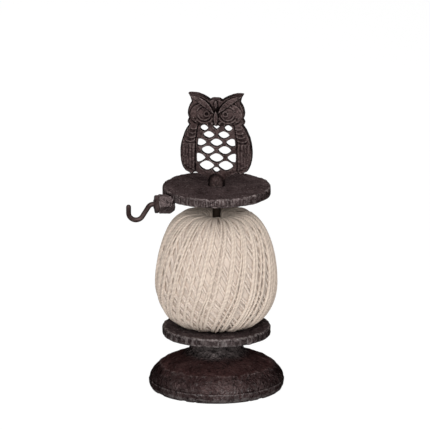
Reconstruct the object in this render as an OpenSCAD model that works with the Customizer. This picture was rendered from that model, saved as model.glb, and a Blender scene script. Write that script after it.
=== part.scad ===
// String holder: a ball of twine on a spindle between a cast foot and a lift-off plate with an owl finial.
// The spindle is the Z axis, the foot stands on Z = 0, and the owl looks towards -Y.

/* [Foot] */
// Widest diameter of the bell foot
foot_d = 108; // [90:1:140]
// Height of the foot up to the seat of the tray
foot_h = 44; // [38:0.5:60]
// Height of the upright rim at the floor
rim_h = 7.5; // [5:0.5:10]
// How far the rim draws in at the floor
rim_tuck = 4.6; // [0.4:0.1:5]
// Thickness of the rim, with what it draws in at the floor
rim_wall = 8; // [7:0.5:12]
// Depth of the step line above the rim
rim_step = 0.6; // [0.2:0.1:1.5]
// Diameter of the shoulder above the rim
shoulder_d = 90; // [70:1:92]
// Height of the shoulder
shoulder_h = 20; // [16:0.1:26]
// Diameter of the neck under the tray
neck_d = 39; // [28:0.5:54]
// How far the waist above the shoulder stands out from the neck
waist_out = 11.2; // [5:0.1:16]
// Rise of the waist over the shoulder
waist_rise = 5.7; // [3:0.1:7]
// Thickness of the cast wall under the shoulder
foot_wall = 5.5; // [4:0.5:8]
// Height of the roof of the hollow, where the washer seats
hollow_h = 21.5; // [20:0.5:28]

/* [Tray] */
// Diameter of the tray that carries the twine
tray_d = 87; // [70:1:100]
// Thickness of the tray
tray_t = 7; // [4:0.5:10]
// Rounding of the tray's edges
tray_round = 1.6; // [0.4:0.1:2]

/* [Spindle] */
// Diameter of the plain shank of the spindle
rod_d = 6.4; // [6.4:0.1:9]
// Diameter of the threaded ends of the spindle
thread_d = 6; // [4:0.1:6]
// Radial clearance of every thread and bore
thread_clear = 0.05; // [0.02:0.01:0.1]
// Length of thread that reaches up into the owl
owl_thread = 7.5; // [5:0.5:8]
// Length of thread that shows below the nut
thread_end = 2.4; // [1:0.2:5]
// Rounding of the upper tip
tip_round = 1.6; // [0.4:0.1:1.9]
// Bevel at the other ends of the threads
thread_bevel = 0.6; // [0.2:0.1:0.6]

/* [Fasteners under the foot] */
// Outer diameter of the washer
washer_d = 18; // [14:0.5:26]
// Thickness of the washer
washer_t = 1.6; // [0.8:0.2:3]
// Size of the nut across its flats
nut_af = 10; // [9:0.5:16]
// Thickness of the nut
nut_t = 5; // [3:0.5:8]

/* [Twine ball] */
// Widest diameter of the ball
ball_d = 98; // [80:1:120]
// Height of the ball
ball_h = 93; // [70:1:140]
// Height of the ball's widest girth
belly_h = 35; // [25:1:60]
// Diameter of the ring where the ball is highest
crown_d = 44; // [36:1:60]
// Diameter of the open hole down the middle of the ball
ball_hole = 18.6; // [17:0.2:26]
// Thickness of the twine
twine_d = 2.2; // [1.6:0.1:2.2]
// Turns of twine in the outer layer
turns = 24; // [8:1:24]
// Lean of the turns round the ball, in degrees each way
lean_angle = 32; // [10:1:60]
// Gap between the ball and the tray
ball_seat = 0.3; // [0.2:0.05:0.8]
// Free height between the ball and the plate
headroom = 15.2; // [1:0.1:24]
// Gap between the twine's turns and the plain core under them
core_gap = 0.5; // [0.4:0.05:2]

/* [Plate] */
// Diameter of the plate over the twine
plate_d = 87; // [70:1:100]
// Thickness of the plate
plate_t = 7.3; // [4:0.1:8]
// Rounding of the plate's edges
plate_round = 1.4; // [0.4:0.1:1.8]

/* [Hook] */
// Bearing of the hook lug round the plate, in degrees from +X
lug_bearing = 206; // [180:1:240]
// Turn of the lug's axis off the radial line, in degrees
lug_skew = -20; // [-30:1:30]
// Distance of the lug's outer face past the plate's edge
lug_reach = 8; // [5:0.5:9]
// Length of the hexagonal lug
lug_len = 13; // [11:0.5:18]
// Size of the lug across its flats
lug_af = 14; // [13:0.2:18]
// Depth of the lug's upper flat under the top of the plate
lug_low = 2.3; // [1:0.1:4]
// Taper of the lug's inner end, off each flat
nose_cut = 2; // [0.5:0.1:2.5]
// Length of that taper
nose_h = 3.2; // [1:0.1:5]
// Depth of the hook's thread in the lug
lug_thread = 9; // [6:0.5:10]
// Size of the lock nut across its flats
lock_af = 13; // [12:0.5:18]
// Thickness of the lock nut
lock_t = 3.2; // [2.4:0.2:7]
// Diameter of the hook's threaded shank
shank_d = 8; // [6:0.5:8]
// Length of shank that shows past the lock nut
shank_out = 0.8; // [0.7:0.1:4]
// Diameter of the hook's wire
wire_d = 4; // [3:0.1:5]
// Straight run of wire out of the shank
wire_lead = 0.3; // [0.2:0.1:4]
// Bend of the wire below the shank's line, in degrees
wire_dip = 58; // [30:1:70]
// Radius of the bend below the shank
dip_radius = 4.5; // [4:0.5:8]
// Straight run of wire down to the bowl of the hook
wire_drop = 9; // [2:0.5:12]
// Radius of the bowl of the hook
bowl_radius = 6; // [5:0.1:10]
// Straight run of wire up to the tip
wire_tip = 4.8; // [2:0.1:12]
// Swell of the wire where a bend ends
forge_swell = 0.06; // [0.04:0.02:0.4]

/* [Owl] */
// Width of the owl across its wings
owl_w = 58; // [48:1:75]
// Height of the owl from its socket to its ears
owl_h = 77; // [66:1:100]
// Thickness of the open breast
breast_t = 4.5; // [3:0.5:6]
// Thickness of the wings and the head
wing_t = 7.5; // [6:0.5:10]
// Height of the feathers over the wings
feather_h = 0.9; // [0.4:0.1:1.2]
// Half thickness of a long feather
feather_r = 1.4; // [1.2:0.1:1.8]
// Height of the round face discs over the head
disc_h = 0.9; // [0.4:0.1:1.5]
// Height of the brows and the crest over the head
brow_h = 2.6; // [1.6:0.1:3.5]
// Height of the beak over the head
beak_h = 3.8; // [2.4:0.1:5]
// Half thickness of the ridges round the eyes
ring_r = 0.75; // [0.4:0.05:1]
// Turn of the owl on its thread, in degrees
owl_turn = -6; // [-45:1:45]
// Diameter of the threaded socket under the owl
socket_d = 13.6; // [11:0.2:18]
// Height of the straight part of the socket
socket_h = 4; // [2:0.5:7]
// Depth of the socket's bore past the spindle's tip
tip_room = 0.8; // [0.5:0.1:2]
// Thickness of the socket over its bore
socket_top = 2.4; // [1:0.1:4]

/* [Hidden] */
$fn = 72;
iron = "#46393a";
steel = "#4a4442";
jute = "#cbbaac";

// Heights of the seats, from the floor up
tray_z = foot_h;
ball_z = tray_z + tray_t;
plate_z = ball_z + ball_seat + ball_h + headroom;
owl_z = plate_z + plate_t;
tip_z = owl_z + owl_thread;
washer_z = hollow_h - washer_t;
nut_z = washer_z - nut_t;
bore_r = thread_d / 2 + thread_clear;

// Angle of the bevel on hexagon corners, and the reach of a cutter past the face it cuts
hex_bevel = 30;
over = 1;

// Points along a curve from a to b that leans towards c, without b itself
function curve(a, c, b, steps = 6) =
    [for (i = [0:steps - 1]) let (t = i / steps) a * (1 - t) ^ 2 + c * 2 * t * (1 - t) + b * t ^ 2];

// Points of a chain of such curves: [start, lean], and so on, closed by the last start
function chain(links, steps = 6) =
    [for (i = [0:len(links) - 2]) each curve(links[i][0], links[i][1], links[i + 1][0], steps)];

// A sine or cosine swollen into a squarer (power over 2) or sharper (under 2) round
function swell(a, power) = sign(a) * abs(a) ^ (2 / power);

// A disc with a bore and rounded edges
module disc(d, t, round_r) {
    r = d / 2;
    rotate_extrude()
        polygon(concat(
            [[bore_r, 0]],
            curve([r - round_r, 0], [r, 0], [r, round_r]),
            curve([r, t - round_r], [r, t], [r - round_r, t]),
            [[r - round_r, t], [bore_r, t]]));
}

// A hexagon bar along Z whose corners are turned off at both ends, with a plain bevel or a longer nose
module hex_bar(af, h, nose_cut = 0, nose_h = 0) {
    r = af / sqrt(3);
    bevel = (r - af / 2) * tan(hex_bevel);
    intersection() {
        cylinder(r = r, h = h, $fn = 6);
        rotate_extrude()
            polygon([[0, 0], [af / 2 - nose_cut, 0], [r, bevel + nose_h],
                     [r, h - bevel], [af / 2, h], [0, h]]);
    }
}

// FOOT: bell-shaped hollow casting
foot_r = foot_d / 2;
shoulder_r = shoulder_d / 2;
neck_r = neck_d / 2;
shoulder_lean = 0.69;
waist = [neck_r + waist_out, shoulder_h + waist_rise];

module foot() {
    inner_r = foot_r - rim_wall;
    outside = concat(
        curve([foot_r - rim_tuck, 0], [foot_r, 0], [foot_r, rim_h / 2]),
        [[foot_r, rim_h / 2], [foot_r, rim_h]],
        curve([foot_r - rim_step, rim_h + rim_step], [foot_r - rim_step, shoulder_h * shoulder_lean],
              [shoulder_r, shoulder_h], 8),
        [[shoulder_r, shoulder_h]],
        curve(waist, [neck_r, waist[1] + waist_rise / 2], [neck_r, foot_h], 10),
        [[neck_r, foot_h]]);
    hollow = concat(
        [[bore_r, hollow_h], [neck_r, hollow_h]],
        curve([shoulder_r - foot_wall / 2, shoulder_h - foot_wall],
              [inner_r, shoulder_h - foot_wall], [inner_r, rim_h]),
        [[inner_r, rim_h], [inner_r, 0]]);
    color(iron)
        rotate_extrude()
            polygon(concat(outside, [[bore_r, foot_h]], hollow));
}

// TRAY: plain disc that the ball of twine sits on
module tray() {
    color(iron)
        translate([0, 0, tray_z])
            disc(tray_d, tray_t, tray_round);
}

// SPINDLE: shank between two threaded ends, whose shoulders clamp the tray and carry the plate
module spindle_rod() {
    thread_r = thread_d / 2;
    rod_r = rod_d / 2;
    low = nut_z - thread_end;
    color(steel)
        rotate_extrude()
            polygon(concat(
                [[0, low], [thread_r - thread_bevel, low], [thread_r, low + thread_bevel],
                 [thread_r, ball_z], [rod_r, ball_z], [rod_r, plate_z], [thread_r, plate_z]],
                curve([thread_r, tip_z - tip_round], [thread_r, tip_z], [thread_r - tip_round, tip_z]),
                [[thread_r - tip_round, tip_z], [0, tip_z]]));
}

// FASTENERS under the roof of the foot
module foot_washer() {
    color(steel)
        translate([0, 0, washer_z])
            difference() {
                cylinder(d = washer_d, h = washer_t);
                translate([0, 0, -over])
                    cylinder(r = bore_r, h = washer_t + 2 * over);
            }
}

module foot_nut() {
    color(steel)
        translate([0, 0, nut_z])
            difference() {
                hex_bar(nut_af, nut_t);
                translate([0, 0, -over])
                    cylinder(r = bore_r, h = nut_t + 2 * over);
            }
}

// TWINE BALL: one strand wound over the outside and back down through the hole
twine_r = twine_d / 2;
crown_r = crown_d / 2;
belly_z = ball_z + ball_seat + belly_h;
wind_out = ball_d / 2 - twine_r - crown_r;
wind_in = crown_r - ball_hole / 2 - twine_r;
wind_up = ball_h - belly_h - twine_r;
wind_down = belly_h - twine_r;
rings = 24;
sides = 6;
end_gap = 3;
knots = turns * rings - end_gap;

// Where a turn lies at angle a of its way round, at a depth below its own middle: [radius, height]
function wrap(a, depth = 0) =
    let (power = cos(a) > 0 ? 2 : 4)
    [crown_r + ((cos(a) > 0 ? wind_out : wind_in) - depth) * swell(cos(a), power),
     belly_z + ((sin(a) > 0 ? wind_up : wind_down) - depth) * swell(sin(a), power)];

// Middle of the strand at knot k, starting half way down the hole
function strand(k) =
    let (a = 180 + 360 * k / rings, around = 360 * k / (rings * turns) + lean_angle * sin(a), p = wrap(a))
    [p[0] * cos(around), p[0] * sin(around), p[1]];

function unit(v) = v / norm(v);

// One ring of points round the strand at knot k
function strand_ring(k) =
    let (p = strand(k),
         along = unit(strand(k + 0.5) - strand(k - 0.5)),
         middle = unit([p[0], p[1], 0]) * crown_r + [0, 0, belly_z],
         out = p - middle,
         up = unit(out - along * (out * along)),
         side = cross(along, up))
    [for (i = [0:sides - 1]) p + twine_r * (up * cos(360 * i / sides) + side * sin(360 * i / sides))];

// Least distance between the surfaces of neighbouring turns, measured on points
function least_gap() =
    let (points = [for (k = [0:0.5:knots]) strand(k)])
    min([for (i = [0:len(points) - 1], j = [2 * rings - 8:2 * rings + 8])
         if (i + j < len(points)) norm(points[i + j] - points[i])]) - twine_d;

module twine_winding() {
    points = [for (k = [0:knots]) each strand_ring(k)];
    last = knots * sides;
    walls = [for (k = [0:knots - 1], i = [0:sides - 1])
             let (a = k * sides + i, b = k * sides + (i + 1) % sides)
             each [[a, a + sides, b], [b, a + sides, b + sides]]];
    caps = [for (i = [1:sides - 2]) each [[0, i, i + 1], [last, last + i + 1, last + i]]];
    echo(str("least gap of the twine to itself, mm: ", least_gap()));
    color(jute)
        polyhedron(points, concat(walls, caps));
}

module twine_core() {
    color(jute)
        rotate_extrude()
            polygon([for (k = [0:rings - 1]) wrap(360 * k / rings, twine_r + core_gap)]);
}

// PLATE: disc with a hexagonal lug for the hook on its rim
lug_r = plate_d / 2 + lug_reach;
lug_drop = lug_af / 2 + lug_low - plate_t;
lug_turn = lug_bearing + lug_skew;
flats_up = 30;

// Stands its children on the lug's outer face, with +Z out along the lug's axis and +X up
module at_lug() {
    translate([lug_r * cos(lug_bearing), lug_r * sin(lug_bearing), plate_z - lug_drop])
        rotate([0, 90, lug_turn])
            mirror([1, 0, 0])
                children();
}

module top_plate() {
    color(iron)
        difference() {
            union() {
                translate([0, 0, plate_z])
                    disc(plate_d, plate_t, plate_round);
                at_lug()
                    translate([0, 0, -lug_len])
                        rotate([0, 0, flats_up])
                            hex_bar(lug_af, lug_len, nose_cut, nose_h);
            }
            at_lug()
                translate([0, 0, -lug_thread - tip_room])
                    cylinder(r = shank_d / 2 + thread_clear, h = lug_thread + tip_room + over);
        }
}

module hook_lock_nut() {
    color(steel)
        at_lug()
            difference() {
                hex_bar(lock_af, lock_t);
                translate([0, 0, -over])
                    cylinder(r = shank_d / 2 + thread_clear, h = lock_t + 2 * over);
            }
}

// HOOK: threaded shank and a wire that dips, bowls and comes up again
module bend(radius, angle) {
    rotate_extrude(angle = angle)
        translate([radius, 0])
            circle(d = wire_d);
}

// Slight swell where a straight run is forged on to a bend
module forge() {
    sphere(d = wire_d + forge_swell);
}

module string_hook() {
    shank_end = lock_t + shank_out;
    bowl_turn = wire_dip + 90;
    color(steel)
        at_lug()
            union() {
                translate([0, 0, -lug_thread])
                    cylinder(d = shank_d, h = lug_thread + shank_end - thread_bevel);
                translate([0, 0, shank_end - thread_bevel])
                    cylinder(d1 = shank_d, d2 = shank_d - 2 * thread_bevel, h = thread_bevel);
                cylinder(d = wire_d, h = shank_end + wire_lead);
                translate([-dip_radius, 0, shank_end + wire_lead])
                    rotate([90, 0, 0])
                        bend(dip_radius, wire_dip);
                translate([-dip_radius, 0, shank_end + wire_lead])
                    rotate([0, -wire_dip, 0])
                        translate([dip_radius, 0, 0]) {
                            forge();
                            cylinder(d = wire_d, h = wire_drop);
                            translate([bowl_radius, 0, wire_drop])
                                rotate([-90, 180, 0])
                                    bend(bowl_radius, bowl_turn);
                            translate([bowl_radius, 0, wire_drop])
                                rotate([0, bowl_turn, 0])
                                    translate([-bowl_radius, 0, 0]) {
                                        forge();
                                        cylinder(d = wire_d, h = wire_tip);
                                        translate([0, 0, wire_tip])
                                            sphere(d = wire_d);
                                    }
                        }
            }
}

// OWL: openwork figure, drawn on a grid whose origin is the middle of its socket
grid_w = 58;
grid_h = 77;
grid = owl_w / grid_w;
function fig(p) = [p[0] * grid, p[1] * owl_h / grid_h];
function fig_all(points) = [for (p = points) fig(p)];
function mirrored(half) = concat(half, [for (i = [len(half) - 1:-1:0]) [-half[i][0], half[i][1]]]);

owl_half = chain([
    [[0, 72.4], [3.4, 72.9]], [[4.6, 71.1], [13.5, 77.8]], [[22.6, 76.4], [20.2, 73.6]],
    [[19.7, 69.4], [25, 62]], [[21.8, 55.6], [24.4, 53]], [[21.6, 50.4], [28.8, 41]],
    [[29, 27.3], [29, 16.5]], [[24.5, 12], [22.5, 11.5]], [[19.6, 9], [17.8, 11.8]],
    [[16, 11.2], [13, 9.6]], [[9.1, 7.1], [6, 5.2]], [[5, 1], [5, 1]], [[0, 1], [0, 1]]]);

breast_half = chain([
    [[0, 50.2], [9, 52.6]], [[12.2, 48], [14.2, 43]], [[14.9, 36], [16.6, 25]],
    [[14.8, 15.5], [8, 10.4]], [[0, 10.2], [0, 10.2]]]);

wing_side = chain([
    [[14.6, 51.6], [18, 54.5]], [[21, 50.2], [27.9, 41]], [[28.2, 27.3], [28.2, 17]],
    [[24.2, 12.7], [22.2, 12.2]], [[19.5, 9.9], [18, 12.4]], [[16.6, 13], [18.8, 25]],
    [[17, 37], [15.8, 44]], [[14.6, 51.6], [14.6, 51.6]]]);

head_half = chain([
    [[0, 71.6], [3.2, 72]], [[4.8, 70.4], [13.5, 76.9]], [[21.2, 75.7], [19.4, 73.2]],
    [[18.9, 69.2], [24, 62]], [[21, 55.6], [23, 53.2]], [[20.6, 51.4], [14, 51.2]],
    [[6, 51.2], [3, 50.6]], [[0, 51.6], [0, 51.6]]]);

// Stands a flat shape upright on the owl's middle plane, half of its thickness each way
module upright(t) {
    rotate([90, 0, 0])
        linear_extrude(t, center = true)
            children();
}

// Lays a flat shape on the front of the head, standing proud by h
module on_face(h) {
    rotate([90, 0, 0])
        linear_extrude(wing_t / 2 + h)
            children();
}

// A leaf between two points that bows out by each of two widths
module leaf(a, b, left, right) {
    p = fig(a);
    q = fig(b);
    across = unit([p[1] - q[1], q[0] - p[0]]);
    polygon(concat(
        curve(p, (p + q) / 2 + across * left * grid, q),
        curve(q, (p + q) / 2 - across * right * grid, p)));
}

// One opening of the breast
module opening(at, w, h) {
    polygon([for (a = [0:22.5:337.5])
             fig([at[0] + w / 2 * swell(cos(a), 1.55), at[1] + h / 2 * swell(sin(a), 1.55)])]);
}

// Rows of openings that grow downwards and alternate from row to row, under a small heart
row_step = 6.35;
row_top = 42.1;
module lattice() {
    intersection() {
        polygon(fig_all(mirrored(breast_half)));
        union() {
            for (row = [0:4])
                let (pitch = 12 + 0.8 * row, count = row % 2 == 0 ? 2 : 3)
                    for (i = [0:count - 1])
                        opening([(i - (count - 1) / 2) * pitch, row_top - row * row_step],
                                9 + 0.7 * row, 6.2 + 0.5 * row);
            opening([0, 13.4], 5.6, 4.6);
        }
    }
    for (s = [-1, 1]) {
        opening([s * 9.6, 47.7], 6.4, 5.4);
        opening([s * 1.3, 48.9], 2.8, 2.4);
    }
    polygon(fig_all([[-2.7, 48.9], [0, 46.2], [2.7, 48.9]]));
}

// A long rounded feather between two points of the wing
module feather(a, b) {
    p = fig(a);
    run = fig(b) - p;
    translate([p[0], feather_r - feather_h - wing_t / 2, p[1]])
        rotate([0, atan2(run[0], run[1]), 0])
            cylinder(r = feather_r, h = norm(run));
}

// A raised ring, or a part of one, round a point at a height over the front of the wings
module ring(at, r, from = 0, sweep = 360, over_wing = 0) {
    p = fig(at);
    translate([p[0], -wing_t / 2 - over_wing, p[1]])
        rotate([90, 0, 0])
            rotate([0, 0, from])
                rotate_extrude(angle = sweep)
                    translate([r * grid, 0])
                        circle(r = ring_r, $fn = 24);
}

// A round knob on the face
module knob(at, r) {
    p = fig(at);
    translate([p[0], -wing_t / 2 - disc_h, p[1]])
        sphere(r = r * grid, $fn = 24);
}

// Scallops over long feathers, on the front and the back
module wing() {
    upright(wing_t)
        polygon(fig_all(wing_side));
    for (side = [0, 1])
        mirror([0, side, 0]) {
            for (i = [0:3])
                feather([18 + 2.75 * i, 35.4], [18.4 + 2.2 * i, 13.6 + 1.3 * i]);
            for (i = [0:3])
                ring([18 + 0.9 * i, 52.6 - 3.5 * i], 5.2, 240 - 6 * i, 60 + 12 * i);
        }
}

// Face disc with the eye in its lids, the pupil, the brow, a nostril and a ruff of small knobs
module half_face() {
    pupil = [7.5, 60.2];
    eye = [9.4, 60.3];
    on_face(disc_h)
        polygon([for (a = [0:15:345]) fig([10.9 + 10.1 * cos(a), 59.8 + 8.8 * sin(a)])]);
    ring(pupil, 2, over_wing = disc_h);
    ring(eye, 5.2, 188, 164, over_wing = disc_h);
    ring(eye, 6.2, 18, 146, over_wing = disc_h);
    ring(eye, 7.6, 205, 120, over_wing = disc_h);
    on_face(brow_h)
        leaf([1.3, 60.4], [21.4, 75.4], 9, 0.4);
    knob([3, 52.6], 1.5);
    for (a = [212:21:338])
        knob(eye + 9.4 * [cos(a), sin(a)], 1);
}

module owl_finial() {
    bore = owl_thread + tip_room;
    color(iron)
        translate([0, 0, owl_z])
            rotate([0, 0, owl_turn])
                difference() {
                    union() {
                        upright(breast_t)
                            difference() {
                                polygon(fig_all(mirrored(owl_half)));
                                lattice();
                            }
                        upright(wing_t)
                            polygon(fig_all(mirrored(head_half)));
                        for (s = [0, 1])
                            mirror([s, 0, 0]) {
                                wing();
                                half_face();
                            }
                        on_face(brow_h)
                            leaf([0, 72], [0, 64.6], 3, 3);
                        on_face(beak_h)
                            leaf([0, 63.6], [0, 50.8], 3.4, 3.4);
                        rotate_extrude()
                            polygon(concat(
                                [[0, 0], [socket_d / 2, 0]],
                                curve([socket_d / 2, socket_h], [socket_d / 2, bore],
                                      [breast_t / 2, bore + socket_top]),
                                [[breast_t / 2, bore + socket_top], [0, bore + socket_top]]));
                    }
                    translate([0, 0, -over])
                        cylinder(r = bore_r, h = bore + over);
                }
}

foot();
tray();
spindle_rod();
foot_washer();
foot_nut();
twine_core();
twine_winding();
top_plate();
hook_lock_nut();
string_hook();
owl_finial();
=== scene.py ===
# %% [markdown]
# # A cast iron string holder with an owl
# A ball of twine turns on a spindle between a bell-shaped foot and a plate that lifts off. The string runs out
# through a hook on the plate, and an openwork owl screws on to the top of the spindle. The solids of all the pieces
# come from the frame, which fixes their sizes and places. This lesson gives each of them its cast, turned or wound
# surface, and its finish.

# %% Load the frame
import math

import bpy
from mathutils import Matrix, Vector


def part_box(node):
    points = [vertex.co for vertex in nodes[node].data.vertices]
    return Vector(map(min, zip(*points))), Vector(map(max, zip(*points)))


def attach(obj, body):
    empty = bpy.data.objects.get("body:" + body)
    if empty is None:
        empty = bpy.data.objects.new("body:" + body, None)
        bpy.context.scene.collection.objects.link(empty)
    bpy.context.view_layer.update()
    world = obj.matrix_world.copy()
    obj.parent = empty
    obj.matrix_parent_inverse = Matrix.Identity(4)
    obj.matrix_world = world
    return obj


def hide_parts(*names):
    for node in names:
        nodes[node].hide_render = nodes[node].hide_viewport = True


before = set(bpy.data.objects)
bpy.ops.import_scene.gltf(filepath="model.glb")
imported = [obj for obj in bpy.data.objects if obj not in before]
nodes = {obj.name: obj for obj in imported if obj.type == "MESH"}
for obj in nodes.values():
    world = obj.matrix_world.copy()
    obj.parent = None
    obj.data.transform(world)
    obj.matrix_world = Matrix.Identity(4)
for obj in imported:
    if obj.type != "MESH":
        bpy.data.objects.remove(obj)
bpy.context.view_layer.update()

MM = 0.001
print("nodes:", ", ".join(sorted(nodes)))

# %% [markdown]
# ## The camera
# The photo is taken from straight in front and a little above, with a long lens, so that circles stay even ellipses.
# A pixel is about 0.8 mm on the object, which gives the width of the picture at the spindle. The lens then sets how
# far away the camera stands.

# %% Camera in front, a little above
ELEVATION = math.radians(15.5)
PICTURE_WIDTH = 0.344
LENS = 1000.0
SENSOR = 36.0
aim = Vector((-1.2 * MM, 0, 142.2 * MM))
distance = PICTURE_WIDTH * LENS / SENSOR
towards_camera = Vector((0, -math.cos(ELEVATION), math.sin(ELEVATION)))
bpy.ops.object.camera_add(location=aim + distance * towards_camera, rotation=(math.pi / 2 - ELEVATION, 0, 0))
camera = bpy.context.object
camera.data.lens = LENS
camera.data.sensor_width = SENSOR
camera.data.clip_end = 40
bpy.context.scene.camera = camera
print("camera at", [round(v, 3) for v in camera.location])

# %% [markdown]
# ## Nodes in a few words
# A material is a graph of nodes. Four small helpers keep the graphs short: one adds a node and sets the constants on
# its sockets, one links sockets, one starts an empty material, and one mixes two colours.

# %% Helpers for node graphs
def add_node(tree, kind, values=None, **options):
    """Adds a node to a graph, with its options and the constants on its sockets."""
    made = tree.nodes.new(kind)
    for option, value in options.items():
        setattr(made, option, value)
    for socket, value in (values or {}).items():
        made.inputs[socket].default_value = value
    return made


def link(tree, *pairs):
    """Links output sockets to input sockets."""
    for output, target in pairs:
        tree.links.new(output, target)


def empty_material(name):
    """A material with nothing in its graph but the output."""
    material = bpy.data.materials.new(name)
    material.use_nodes = True
    material.node_tree.nodes.clear()
    output = add_node(material.node_tree, "ShaderNodeOutputMaterial")
    return material, material.node_tree, output


def mix_colours(tree, first, second, blend_type="MIX"):
    """A colour mix whose sockets are returned by name."""
    made = add_node(tree, "ShaderNodeMix", data_type="RGBA", blend_type=blend_type)
    made.inputs[6].default_value = (*first, 1)
    made.inputs[7].default_value = (*second, 1)
    return {"factor": made.inputs[0], "first": made.inputs[6], "out": made.outputs[2]}


print("helpers ready")

# %% [markdown]
# ## A white sheet
# The object stands on white with hardly any shadow. The floor is a plain sheet that takes the shadow, and most of
# what the camera sees of it is its own white, so the shadow stays faint.

# %% Floor
SHADOW_SHARE = 0.1
OWN_WHITE = 1.06
bpy.ops.object.select_all(action="DESELECT")
bpy.ops.mesh.primitive_plane_add(size=8)
floor = bpy.context.object
floor.name = "floor"
sheet, tree, output = empty_material("white_sheet")
paper = add_node(tree, "ShaderNodeBsdfDiffuse", {"Color": (0.95, 0.95, 0.95, 1)})
own_white = add_node(tree, "ShaderNodeEmission", {"Color": (1, 1, 1, 1), "Strength": OWN_WHITE})
rays = add_node(tree, "ShaderNodeLightPath")
seen = add_node(tree, "ShaderNodeMath", operation="MAXIMUM")
share = add_node(tree, "ShaderNodeMath", {1: 1 - SHADOW_SHARE}, operation="MULTIPLY")
blend = add_node(tree, "ShaderNodeMixShader")
link(tree, (rays.outputs["Is Camera Ray"], seen.inputs[0]), (rays.outputs["Is Glossy Ray"], seen.inputs[1]),
     (seen.outputs[0], share.inputs[0]), (share.outputs[0], blend.inputs[0]), (paper.outputs[0], blend.inputs[1]),
     (own_white.outputs[0], blend.inputs[2]), (blend.outputs[0], output.inputs["Surface"]))
floor.data.materials.append(sheet)
print("floor", tuple(floor.dimensions))

# %% [markdown]
# ## A white room
# The room is white to the camera, in reflections and through glass. It gives only a part of that as light, so that the
# lamps still shape the object and colours come out as they are written.

# %% World
WORLD_LIGHT = 0.17
world = bpy.data.worlds.new("white_room")
bpy.context.scene.world = world
world.use_nodes = True
tree = world.node_tree
tree.nodes.clear()
output = add_node(tree, "ShaderNodeOutputWorld")
white = add_node(tree, "ShaderNodeBackground", {"Color": (1, 1, 1, 1), "Strength": 1})
dim = add_node(tree, "ShaderNodeBackground", {"Color": (1, 0.99, 0.98, 1), "Strength": WORLD_LIGHT})
rays = add_node(tree, "ShaderNodeLightPath")
seen = add_node(tree, "ShaderNodeMath", operation="MAXIMUM")
through = add_node(tree, "ShaderNodeMath", operation="MAXIMUM")
blend = add_node(tree, "ShaderNodeMixShader")
link(tree, (rays.outputs["Is Camera Ray"], seen.inputs[0]), (rays.outputs["Is Glossy Ray"], seen.inputs[1]),
     (seen.outputs[0], through.inputs[0]), (rays.outputs["Is Transmission Ray"], through.inputs[1]),
     (through.outputs[0], blend.inputs[0]), (dim.outputs[0], blend.inputs[1]), (white.outputs[0], blend.inputs[2]),
     (blend.outputs[0], output.inputs["Surface"]))
print("world light", WORLD_LIGHT)

# %% [markdown]
# ## Soft lamps
# One large lamp in front, a little above the camera, does most of the work. Weak ones from the right, the top and the
# back open the shadows, so that the object reads from every side.

# %% Lamps
bpy.context.scene.view_settings.view_transform = "Standard"
LAMPS = {
    "front_softbox": ((-0.1, -1.44, 0.78), 0.6, 18.5),
    "right_softbox": ((1.1, -0.8, 0.7), 0.6, 2),
    "top_softbox": ((0, -0.3, 1.6), 1.0, 8),
    "back_softbox": ((-0.5, 1.1, 0.9), 0.8, 3),
}
for name, (place, size, watts) in LAMPS.items():
    bpy.ops.object.light_add(type="AREA", location=place)
    lamp = bpy.context.object
    lamp.name = name
    lamp.data.size = size
    lamp.data.energy = watts
    lamp.rotation_euler = (aim - lamp.location).to_track_quat("-Z", "Y").to_euler()
print("lamps:", ", ".join(LAMPS))

# %% [markdown]
# ## The skin of a casting
# Sand casting leaves a skin of fine grain, wrinkles and small pits, with hair-thin creases, and the wax and the brown
# patina lie on it in blotches. All the cast pieces share this, so it is a node group: it takes a position and gives
# out blotches, grain, creases and a height for bump. Each material sets its own colours and gloss with them.

# %% Node group: cast skin
cast_skin = bpy.data.node_groups.new("cast_skin", "ShaderNodeTree")
cast_skin.interface.new_socket("Position", in_out="INPUT", socket_type="NodeSocketVector")
for socket in ("Blotches", "Grain", "Creases", "Height"):
    cast_skin.interface.new_socket(socket, in_out="OUTPUT", socket_type="NodeSocketFloat")
BLOTCH_SCALE = 75
GRAIN_SCALE = 700
PIT_SCALE = 330
WRINKLE_SCALE = 290
CREASE_SCALE = 70
CREASE_WIDTH = 0.02
PIT_HEIGHT, WRINKLE_HEIGHT, CREASE_HEIGHT = -0.8, 3.2, -0.7
tree = cast_skin
place = add_node(tree, "NodeGroupInput")
result = add_node(tree, "NodeGroupOutput")
blotches = add_node(tree, "ShaderNodeTexNoise", {"Scale": BLOTCH_SCALE, "Detail": 5, "Roughness": 0.6})
grain = add_node(tree, "ShaderNodeTexNoise", {"Scale": GRAIN_SCALE, "Detail": 4, "Roughness": 0.65})
cells = add_node(tree, "ShaderNodeTexNoise", {"Scale": PIT_SCALE, "Detail": 2, "Roughness": 0.5})
wrinkles = add_node(tree, "ShaderNodeTexNoise",
                    {"Scale": WRINKLE_SCALE, "Detail": 2, "Roughness": 0.5, "Distortion": 1.2})
folds = add_node(tree, "ShaderNodeTexNoise",
                 {"Scale": CREASE_SCALE, "Detail": 3, "Roughness": 0.6, "Distortion": 0.8})
off_middle = add_node(tree, "ShaderNodeMath", {1: 0.5}, operation="SUBTRACT")
either_side = add_node(tree, "ShaderNodeMath", operation="ABSOLUTE")
creases = add_node(tree, "ShaderNodeMapRange", {"From Max": CREASE_WIDTH, "To Min": 1, "To Max": 0})
pits = add_node(tree, "ShaderNodeMapRange", {"From Min": 0.58, "From Max": 0.72})
deep = add_node(tree, "ShaderNodeMath", {1: PIT_HEIGHT}, operation="MULTIPLY")
fine = add_node(tree, "ShaderNodeMath", operation="ADD")
wrinkled = add_node(tree, "ShaderNodeMath", {1: WRINKLE_HEIGHT}, operation="MULTIPLY_ADD")
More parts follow.
